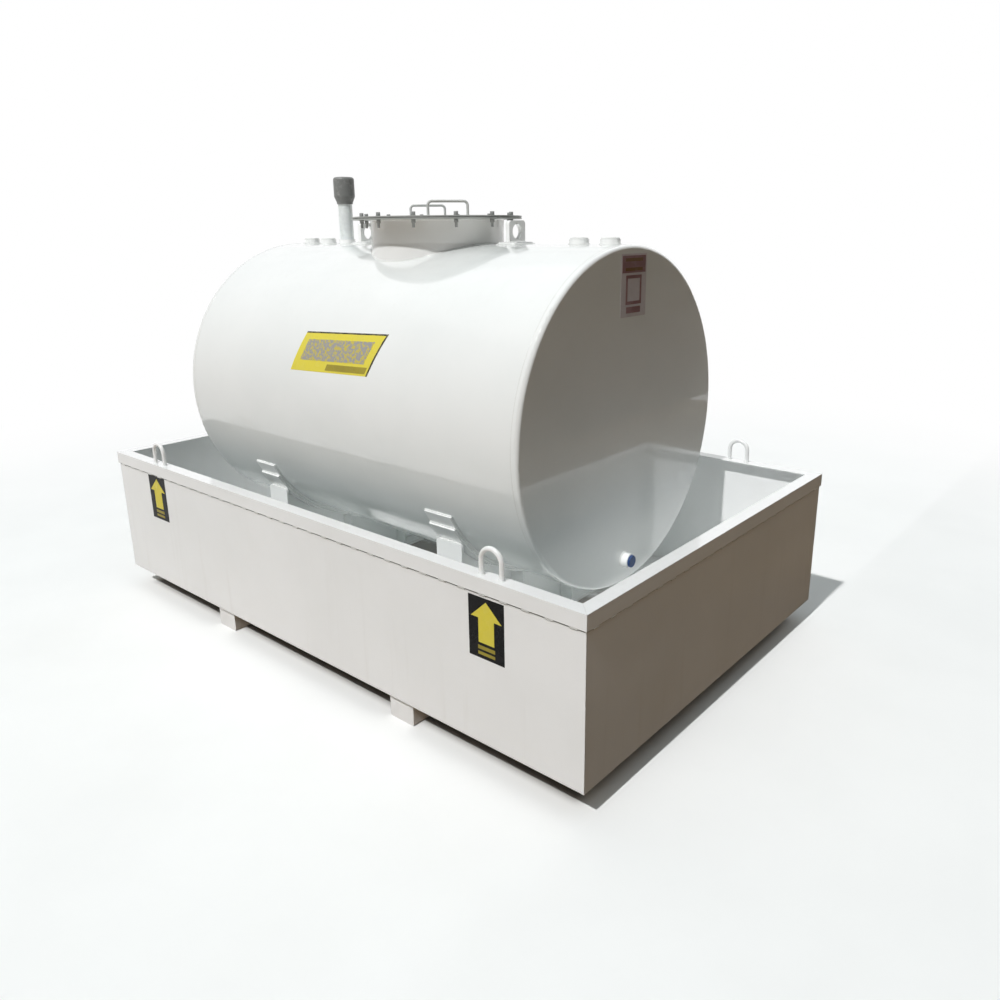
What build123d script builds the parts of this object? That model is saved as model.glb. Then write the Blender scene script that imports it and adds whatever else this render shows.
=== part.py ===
from build123d import *
import math
import os

# Above-ground fuel tank on two saddles, standing in an open steel bund tray.
# Millimetres, +Z up, X along the tank, origin on the ground under the middle of the tray.
# "Near" is the -Y side and "left" the -X side.

os.makedirs("parts", exist_ok=True)

# Bund tray, over the rim, and the sheet it is folded and welded from
tray_length = 2640.0
tray_width = 1635.0
tray_height = 555.0
tray_sheet = 5.0
rim_leg = 50.0
rim_sheet = 5.0

# Cross skids under the tray
skid_pitch = 1088.0
skid_height = 90.0
skid_width = 115.0
skid_sheet = 6.0
skid_setback = 16.0
skid_bend = 8.0

# Bent-bar lifting eyes on the rim
eye_bar = 16.0
eye_width = 95.0
eye_rise = 95.0
eye_from_end = 355.0

# Tank
tank_radius = 607.5
tank_length = 1865.0
tank_sheet = 5.0
tank_end_sheet = 6.0
tank_end_depth = 25.0
tank_end_knuckle = 12.0
tank_shift = -25.0
tank_clearance = 245.0

# Saddles, set evenly about the middle of the tank
saddle_pitch = 1035.0
saddle_width = 125.0
saddle_sheet = 10.0
saddle_half_angle = 57.7
saddle_web_half = 485.0
saddle_rib_pitch = 320.0
saddle_rib_corner = 16.0
base_width = 150.0
base_length = 1060.0
wear_width = 130.0
wear_sheet = 8.0
wear_half_angle = 62.7

# Manhole on top of the tank
manhole_shift = 15.0
neck_radius = 264.0
neck_sheet = 8.0
neck_rise = 92.0
flange_radius = 336.0
flange_sheet = 5.0
gasket_sheet = 2.0
gasket_step = 3.0
cover_sheet = 5.0

# Bent-bar handles on the cover
handle_bar = 10.0
handle_length = 157.0
handle_rise = 55.0
handle_bend = 15.0
handle_radius = 269.0
handle_angle = -36.1

# Places along the top, as shares of the free run from each end of the tank to the manhole neck
left_socket_shares = (0.170, 0.350)
vent_share = 0.548
left_lug_share = 0.755
right_socket_shares = (0.137, 0.337)
right_lug_share = 0.781

# Screwed sockets along the top of the tank, and the plugs in four of them
socket_radius = 35.0
socket_bore = 28.0
socket_rise = 17.0
socket_depth = 25.0
plug_radius = 32.0
plug_rise = 6.0
plug_edge = 3.0
plug_depth = 15.0

# Vent pipe and its cap
vent_radius = 30.15
vent_sheet = 3.6
vent_rise = 200.0
vent_socket_bore = 26.0
vent_insert = 15.0
cap_radius = 45.0
cap_collar_radius = 34.5
cap_bottom = 166.0
cap_collar_rise = 6.0
cap_shoulder = 197.0
cap_top = 278.0
cap_sheet = 4.0
cap_edge = 12.0

# Outlet at the bottom of the right-hand end
outlet_radius = 27.0
outlet_bore = 20.0
outlet_rise = 90.0
outlet_length = 30.0
outlet_depth = 20.0
outlet_plug_radius = 23.0
outlet_plug_rise = 8.0
outlet_plug_edge = 2.0

# Lifting lugs, upright plates across the top of the tank
lug_sheet = 18.0
lug_width = 90.0
lug_rise = 84.0
lug_corner = 14.0
lug_hole_radius = 27.0
lug_hole_rise = 45.0
pad_length = 90.0
pad_width = 110.0
pad_sheet = 8.0
pad_corner = 12.0

# Gap left between a piece and the curved face that it is welded to
seat = 0.3

# Positions that follow from the sizes above
rim_top = skid_height + tray_height
floor_top = skid_height + tray_sheet
wall_x = tray_length / 2 - rim_sheet
wall_y = tray_width / 2 - rim_sheet
wall_height = rim_top - rim_sheet - floor_top
tank_axis_z = floor_top + tank_clearance + tank_radius
tank_top = tank_axis_z + tank_radius
tank_left = tank_shift - tank_length / 2
tank_right = tank_shift + tank_length / 2
shell_left = tank_left + tank_end_depth
shell_length = tank_length - 2 * tank_end_depth
manhole_x = tank_shift + manhole_shift
free_left = manhole_x - neck_radius - tank_left
free_right = tank_right - manhole_x - neck_radius
left_plugs_x = [tank_left + share * free_left for share in left_socket_shares]
right_plugs_x = [tank_right - share * free_right for share in right_socket_shares]
vent_x = tank_left + vent_share * free_left
left_lug_x = tank_left + left_lug_share * free_left
right_lug_x = tank_right - right_lug_share * free_right
outlet_z = tank_axis_z - tank_radius + outlet_rise
flange_bottom = tank_top + neck_rise
gasket_bottom = flange_bottom + flange_sheet
cover_bottom = gasket_bottom + gasket_sheet
cover_top = cover_bottom + cover_sheet
wear_outer = tank_radius + wear_sheet
saddle_outer = wear_outer + saddle_sheet
base_top = floor_top + saddle_sheet
end_rib_top = tank_axis_z - math.sqrt((saddle_outer + seat) ** 2 - saddle_web_half ** 2)


def save(builder, name):
    builder.part.label = name
    export_step(builder.part, f"parts/{name}.step")


# The tray's floor, with the four walls standing on it
with BuildPart() as tray_floor:
    with BuildSketch(Plane.XY.offset(skid_height)):
        Rectangle(2 * wall_x, 2 * wall_y)
    extrude(amount=tray_sheet)
save(tray_floor, "tray_floor")

for name, side in (("near", -1), ("far", 1)):
    with BuildPart() as tray_wall:
        with BuildSketch(Plane.XY.offset(floor_top)):
            with Locations((0, side * (wall_y - tray_sheet / 2))):
                Rectangle(2 * wall_x, tray_sheet)
        extrude(amount=wall_height)
    save(tray_wall, f"tray_wall_{name}")

for name, side in (("left", -1), ("right", 1)):
    with BuildPart() as tray_wall:
        with BuildSketch(Plane.XY.offset(floor_top)):
            with Locations((side * (wall_x - tray_sheet / 2), 0)):
                Rectangle(tray_sheet, 2 * (wall_y - tray_sheet))
        extrude(amount=wall_height)
    save(tray_wall, f"tray_wall_{name}")


# Angle section along the top of each wall, mitred at the corners
def long_strip(side, depth):
    x = tray_length / 2
    y = tray_width / 2
    return [(-x, side * y), (x, side * y), (x - depth, side * (y - depth)), (depth - x, side * (y - depth))]


def short_strip(side, depth):
    x = tray_length / 2
    y = tray_width / 2
    return [(side * x, -y), (side * x, y), (side * (x - depth), y - depth), (side * (x - depth), depth - y)]


rim_sides = (
    ("near", long_strip, -1),
    ("far", long_strip, 1),
    ("left", short_strip, -1),
    ("right", short_strip, 1),
)
for name, strip, side in rim_sides:
    with BuildPart() as rim:
        with BuildSketch(Plane.XY.offset(rim_top - rim_sheet)):
            Polygon(*strip(side, rim_leg), align=None)
        extrude(amount=rim_sheet)
        with BuildSketch(Plane.XY.offset(rim_top - rim_leg)):
            Polygon(*strip(side, rim_sheet), align=None)
        extrude(amount=rim_leg - rim_sheet)
    save(rim, f"rim_{name}")


# Skids: folded channels with the web on the ground, closed at both ends and by the tray's floor
skid_length = 2 * (wall_y - skid_setback)
for name, side in (("left", -1), ("right", 1)):
    with BuildPart() as skid:
        with BuildSketch(Plane.XZ) as skid_section:
            with Locations((side * skid_pitch / 2, 0)):
                Rectangle(skid_width, skid_height, align=(Align.CENTER, Align.MIN))
            fillet(skid_section.vertices().group_by(Axis.Y)[0], skid_bend)
        extrude(amount=skid_length / 2, both=True)
        with BuildSketch(Plane.XZ) as skid_hollow:
            with Locations((side * skid_pitch / 2, skid_sheet)):
                Rectangle(skid_width - 2 * skid_sheet, skid_height, align=(Align.CENTER, Align.MIN))
            fillet(skid_hollow.vertices().group_by(Axis.Y)[0], skid_bend - skid_sheet)
        extrude(amount=skid_length / 2 - skid_sheet, both=True, mode=Mode.SUBTRACT)
    save(skid, f"skid_{name}")


# Lifting eyes: a round bar bent to an upside-down U, standing on the rim's flat leg
eye_x = tray_length / 2 - eye_from_end
eye_y = tray_width / 2 - rim_leg / 2
for row, side_y in (("near", -1), ("far", 1)):
    for end, side_x in (("left", -1), ("right", 1)):
        bend = (eye_width - eye_bar) / 2
        straight = eye_rise - eye_bar / 2 - bend
        eye_plane = Plane(origin=(side_x * eye_x, side_y * eye_y, rim_top), x_dir=(1, 0, 0), z_dir=(0, -1, 0))
        with BuildPart() as rim_eye:
            with BuildLine(eye_plane) as eye_path:
                Line((-bend, 0), (-bend, straight))
                ThreePointArc((-bend, straight), (0, straight + bend), (bend, straight))
                Line((bend, straight), (bend, 0))
            with BuildSketch(Plane(origin=eye_path.line @ 0, z_dir=eye_path.line % 0)):
                Circle(eye_bar / 2)
            sweep(path=eye_path.line)
        save(rim_eye, f"rim_eye_{row}_{end}")


# Tank shell, with its openings for the manhole and the sockets
with BuildPart() as tank_shell:
    with BuildSketch(Plane.YZ.offset(shell_left)):
        with Locations((0, tank_axis_z)):
            Circle(tank_radius)
            Circle(tank_radius - tank_sheet, mode=Mode.SUBTRACT)
    extrude(amount=shell_length)
    with BuildSketch(Plane.XY.offset(tank_axis_z)):
        with Locations((manhole_x, 0)):
            Circle(neck_radius - neck_sheet)
        with Locations(*[(x, 0) for x in left_plugs_x + [vent_x] + right_plugs_x]):
            Circle(socket_radius + seat)
    extrude(amount=tank_radius * 1.1, mode=Mode.SUBTRACT)
save(tank_shell, "tank_shell")

# Ends: flat heads with a rolled knuckle, each a short flange deep where it meets the shell
with BuildPart() as tank_end_left:
    with BuildSketch(Plane.YZ.offset(tank_left)):
        with Locations((0, tank_axis_z)):
            Circle(tank_radius)
    extrude(amount=tank_end_depth)
    fillet(tank_end_left.edges().group_by(Axis.X)[0], tank_end_knuckle)
    offset(amount=-tank_end_sheet, openings=tank_end_left.faces().sort_by(Axis.X)[-1])
save(tank_end_left, "tank_end_left")

with BuildPart() as tank_end_right:
    with BuildSketch(Plane.YZ.offset(tank_right - tank_end_depth)):
        with Locations((0, tank_axis_z)):
            Circle(tank_radius)
    extrude(amount=tank_end_depth)
    fillet(tank_end_right.edges().group_by(Axis.X)[-1], tank_end_knuckle)
    offset(amount=-tank_end_sheet, openings=tank_end_right.faces().sort_by(Axis.X)[0])
    with BuildSketch(Plane.YZ.offset(tank_right - tank_end_sheet)):
        with Locations((0, outlet_z)):
            Circle(outlet_radius + seat)
    extrude(amount=tank_end_sheet, mode=Mode.SUBTRACT)
save(tank_end_right, "tank_end_right")


# Manhole: a neck cut to the shell's curve, its flange, gasket and bolted cover
with BuildPart() as manhole_neck:
    with BuildSketch(Plane.XY.offset(tank_axis_z)):
        with Locations((manhole_x, 0)):
            Circle(neck_radius)
            Circle(neck_radius - neck_sheet, mode=Mode.SUBTRACT)
    extrude(amount=flange_bottom - tank_axis_z)
    with BuildSketch(Plane.YZ.offset(shell_left)):
        with Locations((0, tank_axis_z)):
            Circle(tank_radius + seat)
    extrude(amount=shell_length, mode=Mode.SUBTRACT)
save(manhole_neck, "manhole_neck")

with BuildPart() as manhole_flange:
    with BuildSketch(Plane.XY.offset(flange_bottom)):
        with Locations((manhole_x, 0)):
            Circle(flange_radius)
            Circle(neck_radius - neck_sheet, mode=Mode.SUBTRACT)
    extrude(amount=flange_sheet)
save(manhole_flange, "manhole_flange")

with BuildPart() as manhole_gasket:
    with BuildSketch(Plane.XY.offset(gasket_bottom)):
        with Locations((manhole_x, 0)):
            Circle(flange_radius - gasket_step)
            Circle(neck_radius + gasket_step, mode=Mode.SUBTRACT)
    extrude(amount=gasket_sheet)
save(manhole_gasket, "manhole_gasket")

with BuildPart() as manhole_cover:
    with BuildSketch(Plane.XY.offset(cover_bottom)):
        with Locations((manhole_x, 0)):
            Circle(flange_radius)
    extrude(amount=cover_sheet)
save(manhole_cover, "manhole_cover")

for name, turn in (("front", 0.0), ("back", 180.0)):
    angle = math.radians(handle_angle + turn)
    centre = (manhole_x + handle_radius * math.cos(angle), handle_radius * math.sin(angle), cover_top)
    handle_plane = Plane(
        origin=centre,
        x_dir=(-math.sin(angle), math.cos(angle), 0),
        z_dir=(math.cos(angle), math.sin(angle), 0),
    )
    leg = (handle_length - handle_bar) / 2
    rise = handle_rise - handle_bar / 2
    with BuildPart() as cover_handle:
        with BuildLine(handle_plane) as handle_path:
            FilletPolyline((-leg, 0), (-leg, rise), (leg, rise), (leg, 0), radius=handle_bend)
        with BuildSketch(Plane(origin=handle_path.line @ 0, z_dir=handle_path.line % 0)):
            Circle(handle_bar / 2)
        sweep(path=handle_path.line)
    save(cover_handle, f"cover_handle_{name}")


# Two plugged sockets at each end of the top of the tank
for name, places in (("left", left_plugs_x), ("right", right_plugs_x)):
    with BuildPart() as top_sockets:
        with BuildSketch(Plane.XY.offset(tank_top - socket_depth)):
            with Locations(*[(x, 0) for x in places]):
                Circle(socket_radius)
                Circle(socket_bore, mode=Mode.SUBTRACT)
        extrude(amount=socket_depth + socket_rise)
    save(top_sockets, f"top_sockets_{name}")

    with BuildPart() as top_plugs:
        with BuildSketch(Plane.XY.offset(tank_top + socket_rise)):
            with Locations(*[(x, 0) for x in places]):
                Circle(plug_radius)
        extrude(amount=plug_rise)
        chamfer(top_plugs.edges().group_by(Axis.Z)[-1], plug_edge)
        with BuildSketch(Plane.XY.offset(tank_top + socket_rise - plug_depth)):
            with Locations(*[(x, 0) for x in places]):
                Circle(socket_bore - seat)
        extrude(amount=plug_depth)
    save(top_plugs, f"top_plugs_{name}")


# Vent: a socket with an inner step, the pipe that stands on the step, and a hollow cap on its end
with BuildPart() as vent_socket:
    with BuildSketch(Plane.XY.offset(tank_top - socket_depth)):
        with Locations((vent_x, 0)):
            Circle(socket_radius)
            Circle(vent_socket_bore, mode=Mode.SUBTRACT)
    extrude(amount=socket_depth + socket_rise)
    with BuildSketch(Plane.XY.offset(tank_top - vent_insert)):
        with Locations((vent_x, 0)):
            Circle(vent_radius + seat)
    extrude(amount=vent_insert + socket_rise, mode=Mode.SUBTRACT)
save(vent_socket, "vent_socket")

with BuildPart() as vent_pipe:
    with BuildSketch(Plane.XY.offset(tank_top - vent_insert)):
        with Locations((vent_x, 0)):
            Circle(vent_radius)
            Circle(vent_radius - vent_sheet, mode=Mode.SUBTRACT)
    extrude(amount=vent_insert + vent_rise)
save(vent_pipe, "vent_pipe")

with BuildPart() as vent_cap:
    with BuildSketch(Plane.XZ):
        with BuildLine():
            Polyline(
                (vent_x, tank_top + cap_top),
                (vent_x, tank_top + cap_top - cap_sheet),
                (vent_x + cap_radius - cap_sheet, tank_top + cap_top - cap_sheet),
                (vent_x + cap_radius - cap_sheet, tank_top + vent_rise + cap_sheet),
                (vent_x + vent_radius - vent_sheet, tank_top + vent_rise + cap_sheet),
                (vent_x + vent_radius - vent_sheet, tank_top + vent_rise),
                (vent_x + vent_radius + seat, tank_top + vent_rise),
                (vent_x + vent_radius + seat, tank_top + cap_bottom),
                (vent_x + cap_collar_radius, tank_top + cap_bottom),
                (vent_x + cap_collar_radius, tank_top + cap_bottom + cap_collar_rise),
                (vent_x + cap_radius, tank_top + cap_shoulder),
                (vent_x + cap_radius, tank_top + cap_top),
                close=True,
            )
        make_face()
    revolve(axis=Axis((vent_x, 0, 0), (0, 0, 1)))
    rims = vent_cap.edges().filter_by(GeomType.CIRCLE).group_by(Axis.Z)
    fillet(rims[-2], cap_edge - cap_sheet)
    fillet(rims[-1], cap_edge)
save(vent_cap, "vent_cap")


# Outlet socket through the right-hand end, with its shipping plug
with BuildPart() as outlet_socket:
    with BuildSketch(Plane.YZ.offset(tank_right - outlet_depth)):
        with Locations((0, outlet_z)):
            Circle(outlet_radius)
            Circle(outlet_bore, mode=Mode.SUBTRACT)
    extrude(amount=outlet_depth + outlet_length)
save(outlet_socket, "outlet_socket")

with BuildPart() as outlet_plug:
    with BuildSketch(Plane.YZ.offset(tank_right + outlet_length)):
        with Locations((0, outlet_z)):
            Circle(outlet_plug_radius)
    extrude(amount=outlet_plug_rise)
    chamfer(outlet_plug.edges().group_by(Axis.X)[-1], outlet_plug_edge)
    with BuildSketch(Plane.YZ.offset(tank_right + outlet_length - plug_depth)):
        with Locations((0, outlet_z)):
            Circle(outlet_bore - seat)
    extrude(amount=plug_depth)
save(outlet_plug, "outlet_plug")


# Lifting lugs, each an upright eye plate across the tank on a curved pad
for name, lug_x in (("left", left_lug_x), ("right", right_lug_x)):
    with BuildPart() as lug_pad:
        with BuildSketch(Plane.YZ.offset(lug_x - pad_length / 2)):
            with Locations((0, tank_axis_z)):
                Circle(tank_radius + pad_sheet)
                Circle(tank_radius + seat, mode=Mode.SUBTRACT)
            with Locations((0, tank_top)):
                Rectangle(pad_width, tank_radius, mode=Mode.INTERSECT)
        extrude(amount=pad_length)
        fillet(lug_pad.edges().filter_by(Axis.Z), pad_corner)
    save(lug_pad, f"lug_pad_{name}")

    with BuildPart() as lug:
        with BuildSketch(Plane.YZ.offset(lug_x - lug_sheet / 2)) as lug_face:
            with Locations((0, tank_top)):
                Rectangle(lug_width, lug_rise, align=(Align.CENTER, Align.MIN))
            fillet(lug_face.vertices().group_by(Axis.Y)[-1], lug_corner)
            with Locations((0, tank_axis_z)):
                Circle(tank_radius + pad_sheet + seat, mode=Mode.SUBTRACT)
            with Locations((0, tank_top + lug_hole_rise)):
                Circle(lug_hole_radius, mode=Mode.SUBTRACT)
        extrude(amount=lug_sheet)
    save(lug, f"lug_{name}")


# Saddles: base plate, web, ribs and curved flange, with the wear plate that the tank lies on
def curved_strip(inner, outer, half_angle):
    reach = 2 * outer
    sweep_angle = math.radians(half_angle)
    with BuildSketch(mode=Mode.PRIVATE) as strip:
        Circle(outer)
        Circle(inner, mode=Mode.SUBTRACT)
        Polygon(
            (0, 0),
            (-reach * math.sin(sweep_angle), -reach * math.cos(sweep_angle)),
            (0, -reach),
            (reach * math.sin(sweep_angle), -reach * math.cos(sweep_angle)),
            align=None,
            mode=Mode.INTERSECT,
        )
    return strip.sketch


for name, side in (("left", -1), ("right", 1)):
    middle = tank_shift + side * saddle_pitch / 2
    with BuildPart() as wear_plate:
        with BuildSketch(Plane.YZ.offset(middle - wear_width / 2)):
            with Locations((0, tank_axis_z)):
                add(curved_strip(tank_radius + seat, wear_outer, wear_half_angle))
        extrude(amount=wear_width)
    save(wear_plate, f"wear_plate_{name}")

    with BuildPart() as saddle_flange:
        with BuildSketch(Plane.YZ.offset(middle - saddle_width / 2)):
            with Locations((0, tank_axis_z)):
                add(curved_strip(wear_outer + seat, saddle_outer, saddle_half_angle))
        extrude(amount=saddle_width)
    save(saddle_flange, f"saddle_flange_{name}")

    with BuildPart() as saddle_web:
        with BuildSketch(Plane.YZ.offset(middle - saddle_sheet / 2)):
            with Locations((0, base_top)):
                Rectangle(2 * saddle_web_half, tank_axis_z - base_top, align=(Align.CENTER, Align.MIN))
            with Locations((0, tank_axis_z)):
                Circle(saddle_outer + seat, mode=Mode.SUBTRACT)
        extrude(amount=saddle_sheet)
    save(saddle_web, f"saddle_web_{name}")

    with BuildPart() as saddle_ribs:
        for outer_face in (saddle_web_half + saddle_sheet, -saddle_web_half):
            with BuildSketch(Plane.XZ.offset(outer_face)) as end_rib:
                with Locations((middle, base_top)):
                    Rectangle(saddle_width, end_rib_top - base_top, align=(Align.CENTER, Align.MIN))
                fillet(end_rib.vertices().group_by(Axis.Y)[-1], saddle_rib_corner)
            extrude(amount=-saddle_sheet)
        half_rib = (saddle_width - saddle_sheet) / 2
        for start in (-saddle_width / 2, saddle_sheet / 2):
            with BuildSketch(Plane.YZ.offset(middle + start)):
                for place in (-1, 1):
                    with Locations((place * saddle_rib_pitch / 2, base_top)):
                        Rectangle(saddle_sheet, tank_axis_z - base_top, align=(Align.CENTER, Align.MIN))
                with Locations((0, tank_axis_z)):
                    Circle(saddle_outer + seat, mode=Mode.SUBTRACT)
            extrude(amount=half_rib)
    save(saddle_ribs, f"saddle_ribs_{name}")

    with BuildPart() as saddle_base:
        with BuildSketch(Plane.XY.offset(floor_top)):
            with Locations((middle, 0)):
                Rectangle(base_width, base_length)
        extrude(amount=saddle_sheet)
    save(saddle_base, f"saddle_base_{name}")
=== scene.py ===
import math

import bmesh
import bpy
from mathutils import Matrix, Vector


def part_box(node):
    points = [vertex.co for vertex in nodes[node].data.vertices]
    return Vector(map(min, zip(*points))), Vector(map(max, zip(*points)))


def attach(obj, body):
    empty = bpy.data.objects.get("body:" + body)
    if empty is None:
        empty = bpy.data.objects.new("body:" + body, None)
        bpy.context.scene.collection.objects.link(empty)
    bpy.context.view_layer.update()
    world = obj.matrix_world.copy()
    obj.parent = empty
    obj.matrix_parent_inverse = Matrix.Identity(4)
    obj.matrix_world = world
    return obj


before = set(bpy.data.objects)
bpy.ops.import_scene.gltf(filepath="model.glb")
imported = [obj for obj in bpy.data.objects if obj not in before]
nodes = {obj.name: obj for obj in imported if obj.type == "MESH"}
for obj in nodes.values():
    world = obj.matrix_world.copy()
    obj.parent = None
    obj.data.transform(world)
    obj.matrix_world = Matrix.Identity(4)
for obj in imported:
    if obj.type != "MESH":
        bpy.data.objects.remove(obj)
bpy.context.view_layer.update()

# The looks of an above-ground fuel tank in its bund tray: paint, bolts, weld beads and stickers.
# Metres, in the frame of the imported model: X along the tank, -Y the near side, Z up.

# Places read from the frame
shell_low, shell_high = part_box("tank_shell")
end_low, end_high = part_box("tank_end_right")
tank_radius = (end_high.z - end_low.z) / 2
tank_axis_z = (end_high.z + end_low.z) / 2
tank_top = tank_axis_z + tank_radius
cover_low, cover_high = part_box("manhole_cover")
flange_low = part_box("manhole_flange")[0]
neck_low, neck_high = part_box("manhole_neck")
manhole_x = (cover_low.x + cover_high.x) / 2
neck_radius = (neck_high.x - neck_low.x) / 2
wall_low, wall_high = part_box("tray_wall_near")
floor_low, floor_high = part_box("tray_floor")
rim_low, rim_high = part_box("rim_near")

# Bolts of the manhole cover
bolt_count = 12
bolt_ring = 0.300
bolt_turn = -1.5
bolt_head_across = 0.0145
bolt_head_height = 0.0125
washer_radius = 0.0092
washer_height = 0.0022
nut_height = 0.011
bolt_shank_radius = 0.0050
bolt_tail = 0.030
bolt_edge = 0.0012
washer_edge = 0.0004
shank_edge = 0.0008

# Weld beads: their ripples, how far their middle stands off a piece, and the radius of each kind
bead_step = 0.006
bead_ripple = 0.14
plate_stand_off = 0.001
bar_stand_off = 0.0005
eye_stand_off = 0.0008
end_seam_sunk = 0.0008
end_seam_bead = 0.0016
fillet_bead = 0.0035
lug_bead = 0.0040
neck_bead = 0.0032
flange_bead = 0.0040
handle_bead = 0.0022
base_bead = 0.0040
tray_bead = 0.0045
eye_bead = 0.0030

# Dark strip under the rim, painted shade of the rim's leg over the dark joint, and the short welds
# that break it
joint_shade_height = 0.0045
joint_shade_depth = 0.0008
joint_shade_from_corner = 0.004
stitch_pitch = 0.080
stitch_length = 0.028
stitch_bead = 0.0030
stitch_stand_off = 0.0014
stitch_drop = 0.0034

# Stickers, and how far they stand off the paint
film = 0.0004
arrow_panel_width = 0.140
arrow_panel_height = 0.198
arrow_panels = {"left": (-0.981, 0.490), "right": (0.958, 0.483)}
end_panel_width = 0.156
end_panel_height = 0.208
end_panel_place = (0.012, 1.422)
label_frame_half = 0.31 * end_panel_width
label_frame_bar = 0.32 * label_frame_half
label_frame_drop = 0.07 * end_panel_height

# Corners of the sticker on the shell: place along the tank, degrees up from level with its axis
shell_panel_corners = {
    "top_left": (-0.188, 29.3),
    "top_right": (0.261, 31.3),
    "bottom_right": (0.205, 16.4),
    "bottom_left": (-0.238, 14.8),
}

# Paint: what settles on it, the painted shade on the tray's floor under the tank, and what shows
# along its edges
dust_colour = (0.47, 0.43, 0.36)
streak_colour = (0.50, 0.44, 0.36)
under_tank_shade_colour = (0.16, 0.115, 0.085)
under_tank_shade_cover = 0.85
worn_white = (0.60, 0.60, 0.58)
worn_grey = (0.16, 0.17, 0.17)
rubbed_cast = (0.36, 0.36, 0.35)

# Painted shade on the tray's floor under the tank: where along and across the tray it begins and is
# full
under_tank_shade_ends = (("X", 1.00, 0.60), ("Y", 0.46, 0.26))
under_tank_shade_near_edge = (0.06, 0.16)

# Camera of the photograph: its place, direction in degrees, lens in pixels of a 1000 pixel frame
camera_place = Vector((2.435, -2.406, 1.605))
camera_azimuth = 40.288
camera_elevation = 16.232
camera_roll = -0.578
focal_pixels = 820.04
optical_centre = (517.57, 468.70)
frame_pixels = 1000.0
sensor_width = 36.0

# Lamps: strengths, and directions in degrees. Azimuth 0 is the near side and grows to the left end
key_azimuth = -1.5
key_elevation = 53.5
key_strength = 2.65
key_softness = 2.0
overhead_elevation = 89.0
overhead_strength = 0.36
overhead_softness = 100.0
back_azimuth = 180.0
back_elevation = 35.0
back_strength = 0.25
back_softness = 50.0

# Dome of light: colour, strength at the horizon and overhead, share lost on the outlet side
sky_colour = (0.80, 0.97, 1.0)
sky_low = 0.06
sky_high = 0.26
sky_dark_side = 0.80

# Weak lamps for the light that the sunlit tray floor and the tank's crown throw back up:
# how far over the steel they lie, how wide they are, how strong, and their colours
bounce_gap = 0.012
bounce_margin = 0.04
tray_bounce = 1.8
tray_bounce_colour = (0.82, 1.0, 0.98)
crown_gap = 0.005
crown_share = 1.4
crown_bounce = 0.75
crown_bounce_colour = (0.97, 1.0, 0.98)

# Stage floor: its size, where it runs out to white, its colours, and how far in from the
# tray's outline the painted shadow under it begins and is full
stage_size = 60.0
stage_fade = (2.2, 5.5)
stage_pale = (0.93, 0.93, 0.92)
stage_worn = (0.90, 0.90, 0.89)
stage_painted_shadow = (0.16, 0.15, 0.14)
stage_thrown_back = (0.160, 0.098, 0.040)
painted_shadow_edge = (0.03, 0.09)

# Dark cards beside the outlet end, from corner to corner
gloss_cards = {
    "gloss_card_standing": ((3.2, 1.7, 0.0), (3.2, 5.3, 1.75)),
    "gloss_card_lying": ((1.32, -1.9, 0.004), (3.2, 4.7, 0.004)),
}


def finish_piece(name, mesh, material):
    """A mesh whose place is in its vertices becomes a piece of the tank."""
    piece = bpy.data.objects.new(name, mesh)
    bpy.context.scene.collection.objects.link(piece)
    mesh.materials.clear()
    mesh.materials.append(material)
    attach(piece, "root")
    return piece


def mesh_from(bm, name, smooth_angle=35.0):
    """Turns a bmesh into a mesh with outward faces and sharp edges kept sharp."""
    bmesh.ops.recalc_face_normals(bm, faces=bm.faces)
    for face in bm.faces:
        face.smooth = True
    for edge in bm.edges:
        if len(edge.link_faces) == 2 and edge.calc_face_angle(0.0) > math.radians(smooth_angle):
            edge.smooth = False
    mesh = bpy.data.meshes.new(name)
    bm.to_mesh(mesh)
    bm.free()
    return mesh


# Material building blocks

def start_material(name):
    """A new material, its nodes, its shader and the place of a point in the object's own frame."""
    material = bpy.data.materials.new(name)
    material.use_nodes = True
    tree = material.node_tree
    shader = tree.nodes["Principled BSDF"]
    place = tree.nodes.new("ShaderNodeTexCoord").outputs["Object"]
    return material, tree, shader, place


def noise(tree, place, scale, detail=4.0, roughness=0.55, stretch=(1.0, 1.0, 1.0)):
    """Cloudy noise, 0 to 1, with scale clouds to the metre."""
    mapping = tree.nodes.new("ShaderNodeMapping")
    mapping.inputs["Scale"].default_value = stretch
    tree.links.new(place, mapping.inputs["Vector"])
    texture = tree.nodes.new("ShaderNodeTexNoise")
    texture.inputs["Scale"].default_value = scale
    texture.inputs["Detail"].default_value = detail
    texture.inputs["Roughness"].default_value = roughness
    tree.links.new(mapping.outputs["Vector"], texture.inputs["Vector"])
    return texture.outputs["Fac"]


def spread(tree, value, low, high, to_low=0.0, to_high=1.0):
    """Maps low..high of a value to to_low..to_high, with soft ends."""
    node = tree.nodes.new("ShaderNodeMapRange")
    node.interpolation_type = "SMOOTHSTEP"
    node.inputs["From Min"].default_value = low
    node.inputs["From Max"].default_value = high
    node.inputs["To Min"].default_value = to_low
    node.inputs["To Max"].default_value = to_high
    tree.links.new(value, node.inputs["Value"])
    return node.outputs["Result"]


def times(tree, first, second):
    """Product of two values, each a number or a socket."""
    node = tree.nodes.new("ShaderNodeMath")
    node.operation = "MULTIPLY"
    for value, socket in ((first, node.inputs[0]), (second, node.inputs[1])):
        if isinstance(value, float):
            socket.default_value = value
        else:
            tree.links.new(value, socket)
    return node.outputs["Value"]


def mixed(tree, amount, first, second):
    """Colour that goes from first to second with the amount."""
    node = tree.nodes.new("ShaderNodeMix")
    node.data_type = "RGBA"
    tree.links.new(amount, node.inputs["Factor"])
    for colour, socket in ((first, node.inputs["A"]), (second, node.inputs["B"])):
        if isinstance(colour, tuple):
            socket.default_value = (*colour, 1.0)
        else:
            tree.links.new(colour, socket)
    return node.outputs["Result"]


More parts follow.
